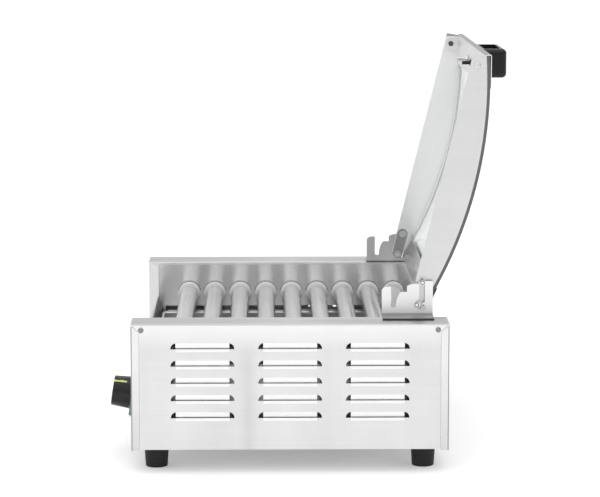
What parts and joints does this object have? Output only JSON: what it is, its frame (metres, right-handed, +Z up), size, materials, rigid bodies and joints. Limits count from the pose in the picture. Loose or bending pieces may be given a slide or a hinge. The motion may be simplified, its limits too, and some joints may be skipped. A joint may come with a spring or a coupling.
{
  "type": "hot dog roller grill",
  "caption": "Countertop roller grill with driven heated rollers between louvred steel housings, a drip tray, and a curved glass lid hinged at the rear, shown open.",
  "frame": {"origin": "on the floor under the feet, at the middle of the whole object's outline seen from above, with the lid open", "axes": "+X along the rollers to the operator's right, -Y towards the operator, +Z up"},
  "size_m": [0.594, 0.5238, 0.5236],
  "materials": {
    "brushed_stainless": "long-grained brushed stainless sheet",
    "pan_steel": "dull galvanised sheet",
    "roller_steel": "finely turned bright tube",
    "drive_steel": "dark oiled steel",
    "element_sheath": "heat-darkened sheath",
    "fastener_steel": "bright plated steel",
    "motor_casting": "grey cast housing",
    "bush_plastic": "pale low-friction plastic",
    "black_plastic": "fine-grained black plastic",
    "foot_rubber": "black rubber",
    "marker_plastic": "yellow-green line",
    "rocker_green": "glossy green",
    "splash_cover": "clear soft plastic",
    "terminal_plastic": "pale moulded plastic",
    "thermostat_case": "pale moulded case",
    "lid_glass": "clear toughened glass"
  },
  "bodies": {
    "body": {"base_pan": "pan_steel", "front_panel": "brushed_stainless", "rear_panel": "brushed_stainless", "left_end_frame": "brushed_stainless", "right_end_frame": "brushed_stainless", "left_side_cover": "brushed_stainless", "right_side_cover": "brushed_stainless", "rubber_feet": "foot_rubber", "foot_screws": "fastener_steel", "cover_screws": "fastener_steel", "roller_bushes": "bush_plastic", "heating_elements": "element_sheath", "element_holders": "pan_steel", "drive_chain": "drive_steel", "gear_motor": "motor_casting", "thermostat": "thermostat_case", "terminal_block": "terminal_plastic", "switch_housing": "black_plastic", "switch_cover": "splash_cover", "cable_gland": "black_plastic", "left_hinge_bracket": "brushed_stainless", "right_hinge_bracket": "brushed_stainless", "tray_rails": "pan_steel"},
    "lid": {"left_lid_side": "brushed_stainless", "right_lid_side": "brushed_stainless", "lid_glass": "lid_glass", "front_rail": "brushed_stainless", "rear_rail": "brushed_stainless", "lid_handle": "black_plastic", "handle_bolts": "fastener_steel", "hinge_pins": "fastener_steel", "hinge_links": "brushed_stainless", "rail_screws": "fastener_steel"},
    "turning_roller_1": {"roller_1": "roller_steel", "roller_sprocket_1": "drive_steel"},
    "turning_roller_2": {"roller_2": "roller_steel", "roller_sprocket_2": "drive_steel"},
    "turning_roller_3": {"roller_3": "roller_steel", "roller_sprocket_3": "drive_steel"},
    "turning_roller_4": {"roller_4": "roller_steel", "roller_sprocket_4": "drive_steel"},
    "turning_roller_5": {"roller_5": "roller_steel", "roller_sprocket_5": "drive_steel"},
    "turning_roller_6": {"roller_6": "roller_steel", "roller_sprocket_6": "drive_steel"},
    "turning_roller_7": {"roller_7": "roller_steel", "roller_sprocket_7": "drive_steel"},
    "turning_roller_8": {"roller_8": "roller_steel", "roller_sprocket_8": "drive_steel"},
    "turning_roller_9": {"roller_9": "roller_steel", "roller_sprocket_9": "drive_steel"},
    "motor_drive": {"motor_sprocket": "drive_steel", "motor_shaft": "fastener_steel"},
    "tray": {"drip_tray": "brushed_stainless"},
    "switch_rocker": {"rocker": "rocker_green"},
    "knob": {"thermostat_knob": "black_plastic", "knob_spindle": "fastener_steel", "knob_marker": "marker_plastic"}
  },
  "joints": [
    {"name": "lid_hinge", "type": "hinge", "parent": "body", "child": "lid", "pos_m": [0, 0.1337, 0.2044], "axis": [1, 0, 0], "range_deg": [0, 104]},
    {"name": "roller_1_spin", "type": "hinge", "parent": "body", "child": "turning_roller_1", "pos_m": [0, -0.1693, 0.1455], "axis": [1, 0, 0], "continuous": true},
    {"name": "roller_2_spin", "type": "hinge", "parent": "body", "child": "turning_roller_2", "pos_m": [0, -0.1321, 0.1455], "axis": [1, 0, 0], "continuous": true},
    {"name": "roller_3_spin", "type": "hinge", "parent": "body", "child": "turning_roller_3", "pos_m": [0, -0.0949, 0.1455], "axis": [1, 0, 0], "continuous": true},
    {"name": "roller_4_spin", "type": "hinge", "parent": "body", "child": "turning_roller_4", "pos_m": [0, -0.0577, 0.1455], "axis": [1, 0, 0], "continuous": true},
    {"name": "roller_5_spin", "type": "hinge", "parent": "body", "child": "turning_roller_5", "pos_m": [0, -0.0205, 0.1455], "axis": [1, 0, 0], "continuous": true},
    {"name": "roller_6_spin", "type": "hinge", "parent": "body", "child": "turning_roller_6", "pos_m": [0, 0.0167, 0.1455], "axis": [1, 0, 0], "continuous": true},
    {"name": "roller_7_spin", "type": "hinge", "parent": "body", "child": "turning_roller_7", "pos_m": [0, 0.0539, 0.1455], "axis": [1, 0, 0], "continuous": true},
    {"name": "roller_8_spin", "type": "hinge", "parent": "body", "child": "turning_roller_8", "pos_m": [0, 0.0911, 0.1455], "axis": [1, 0, 0], "continuous": true},
    {"name": "roller_9_spin", "type": "hinge", "parent": "body", "child": "turning_roller_9", "pos_m": [0, 0.1283, 0.1455], "axis": [1, 0, 0], "continuous": true},
    {"name": "motor_spin", "type": "hinge", "parent": "body", "child": "motor_drive", "pos_m": [-0.25, -0.0203, 0.072], "axis": [1, 0, 0], "continuous": true},
    {"name": "tray_slide", "type": "slide", "parent": "body", "child": "tray", "axis": [0, -1, 0], "range_m": [0, 0.34]},
    {"name": "knob_turn", "type": "hinge", "parent": "body", "child": "knob", "pos_m": [0.165, -0.22579, 0.0765], "axis": [0, 0.989, -0.1478], "range_deg": [0, 300]},
    {"name": "rocker_press", "type": "hinge", "parent": "body", "child": "switch_rocker", "pos_m": [0.205, -0.22426, 0.0732], "axis": [-1, 0, 0], "range_deg": [0, 18]}
  ],
  "couplings": [
    {"joint": "roller_2_spin", "follows": "roller_1_spin", "ratio": 1},
    {"joint": "roller_3_spin", "follows": "roller_1_spin", "ratio": 1},
    {"joint": "roller_4_spin", "follows": "roller_1_spin", "ratio": 1},
    {"joint": "roller_5_spin", "follows": "roller_1_spin", "ratio": 1},
    {"joint": "roller_6_spin", "follows": "roller_1_spin", "ratio": 1},
    {"joint": "roller_7_spin", "follows": "roller_1_spin", "ratio": 1},
    {"joint": "roller_8_spin", "follows": "roller_1_spin", "ratio": 1},
    {"joint": "roller_9_spin", "follows": "roller_1_spin", "ratio": 1},
    {"joint": "motor_spin", "follows": "roller_1_spin", "ratio": 1}
  ]
}
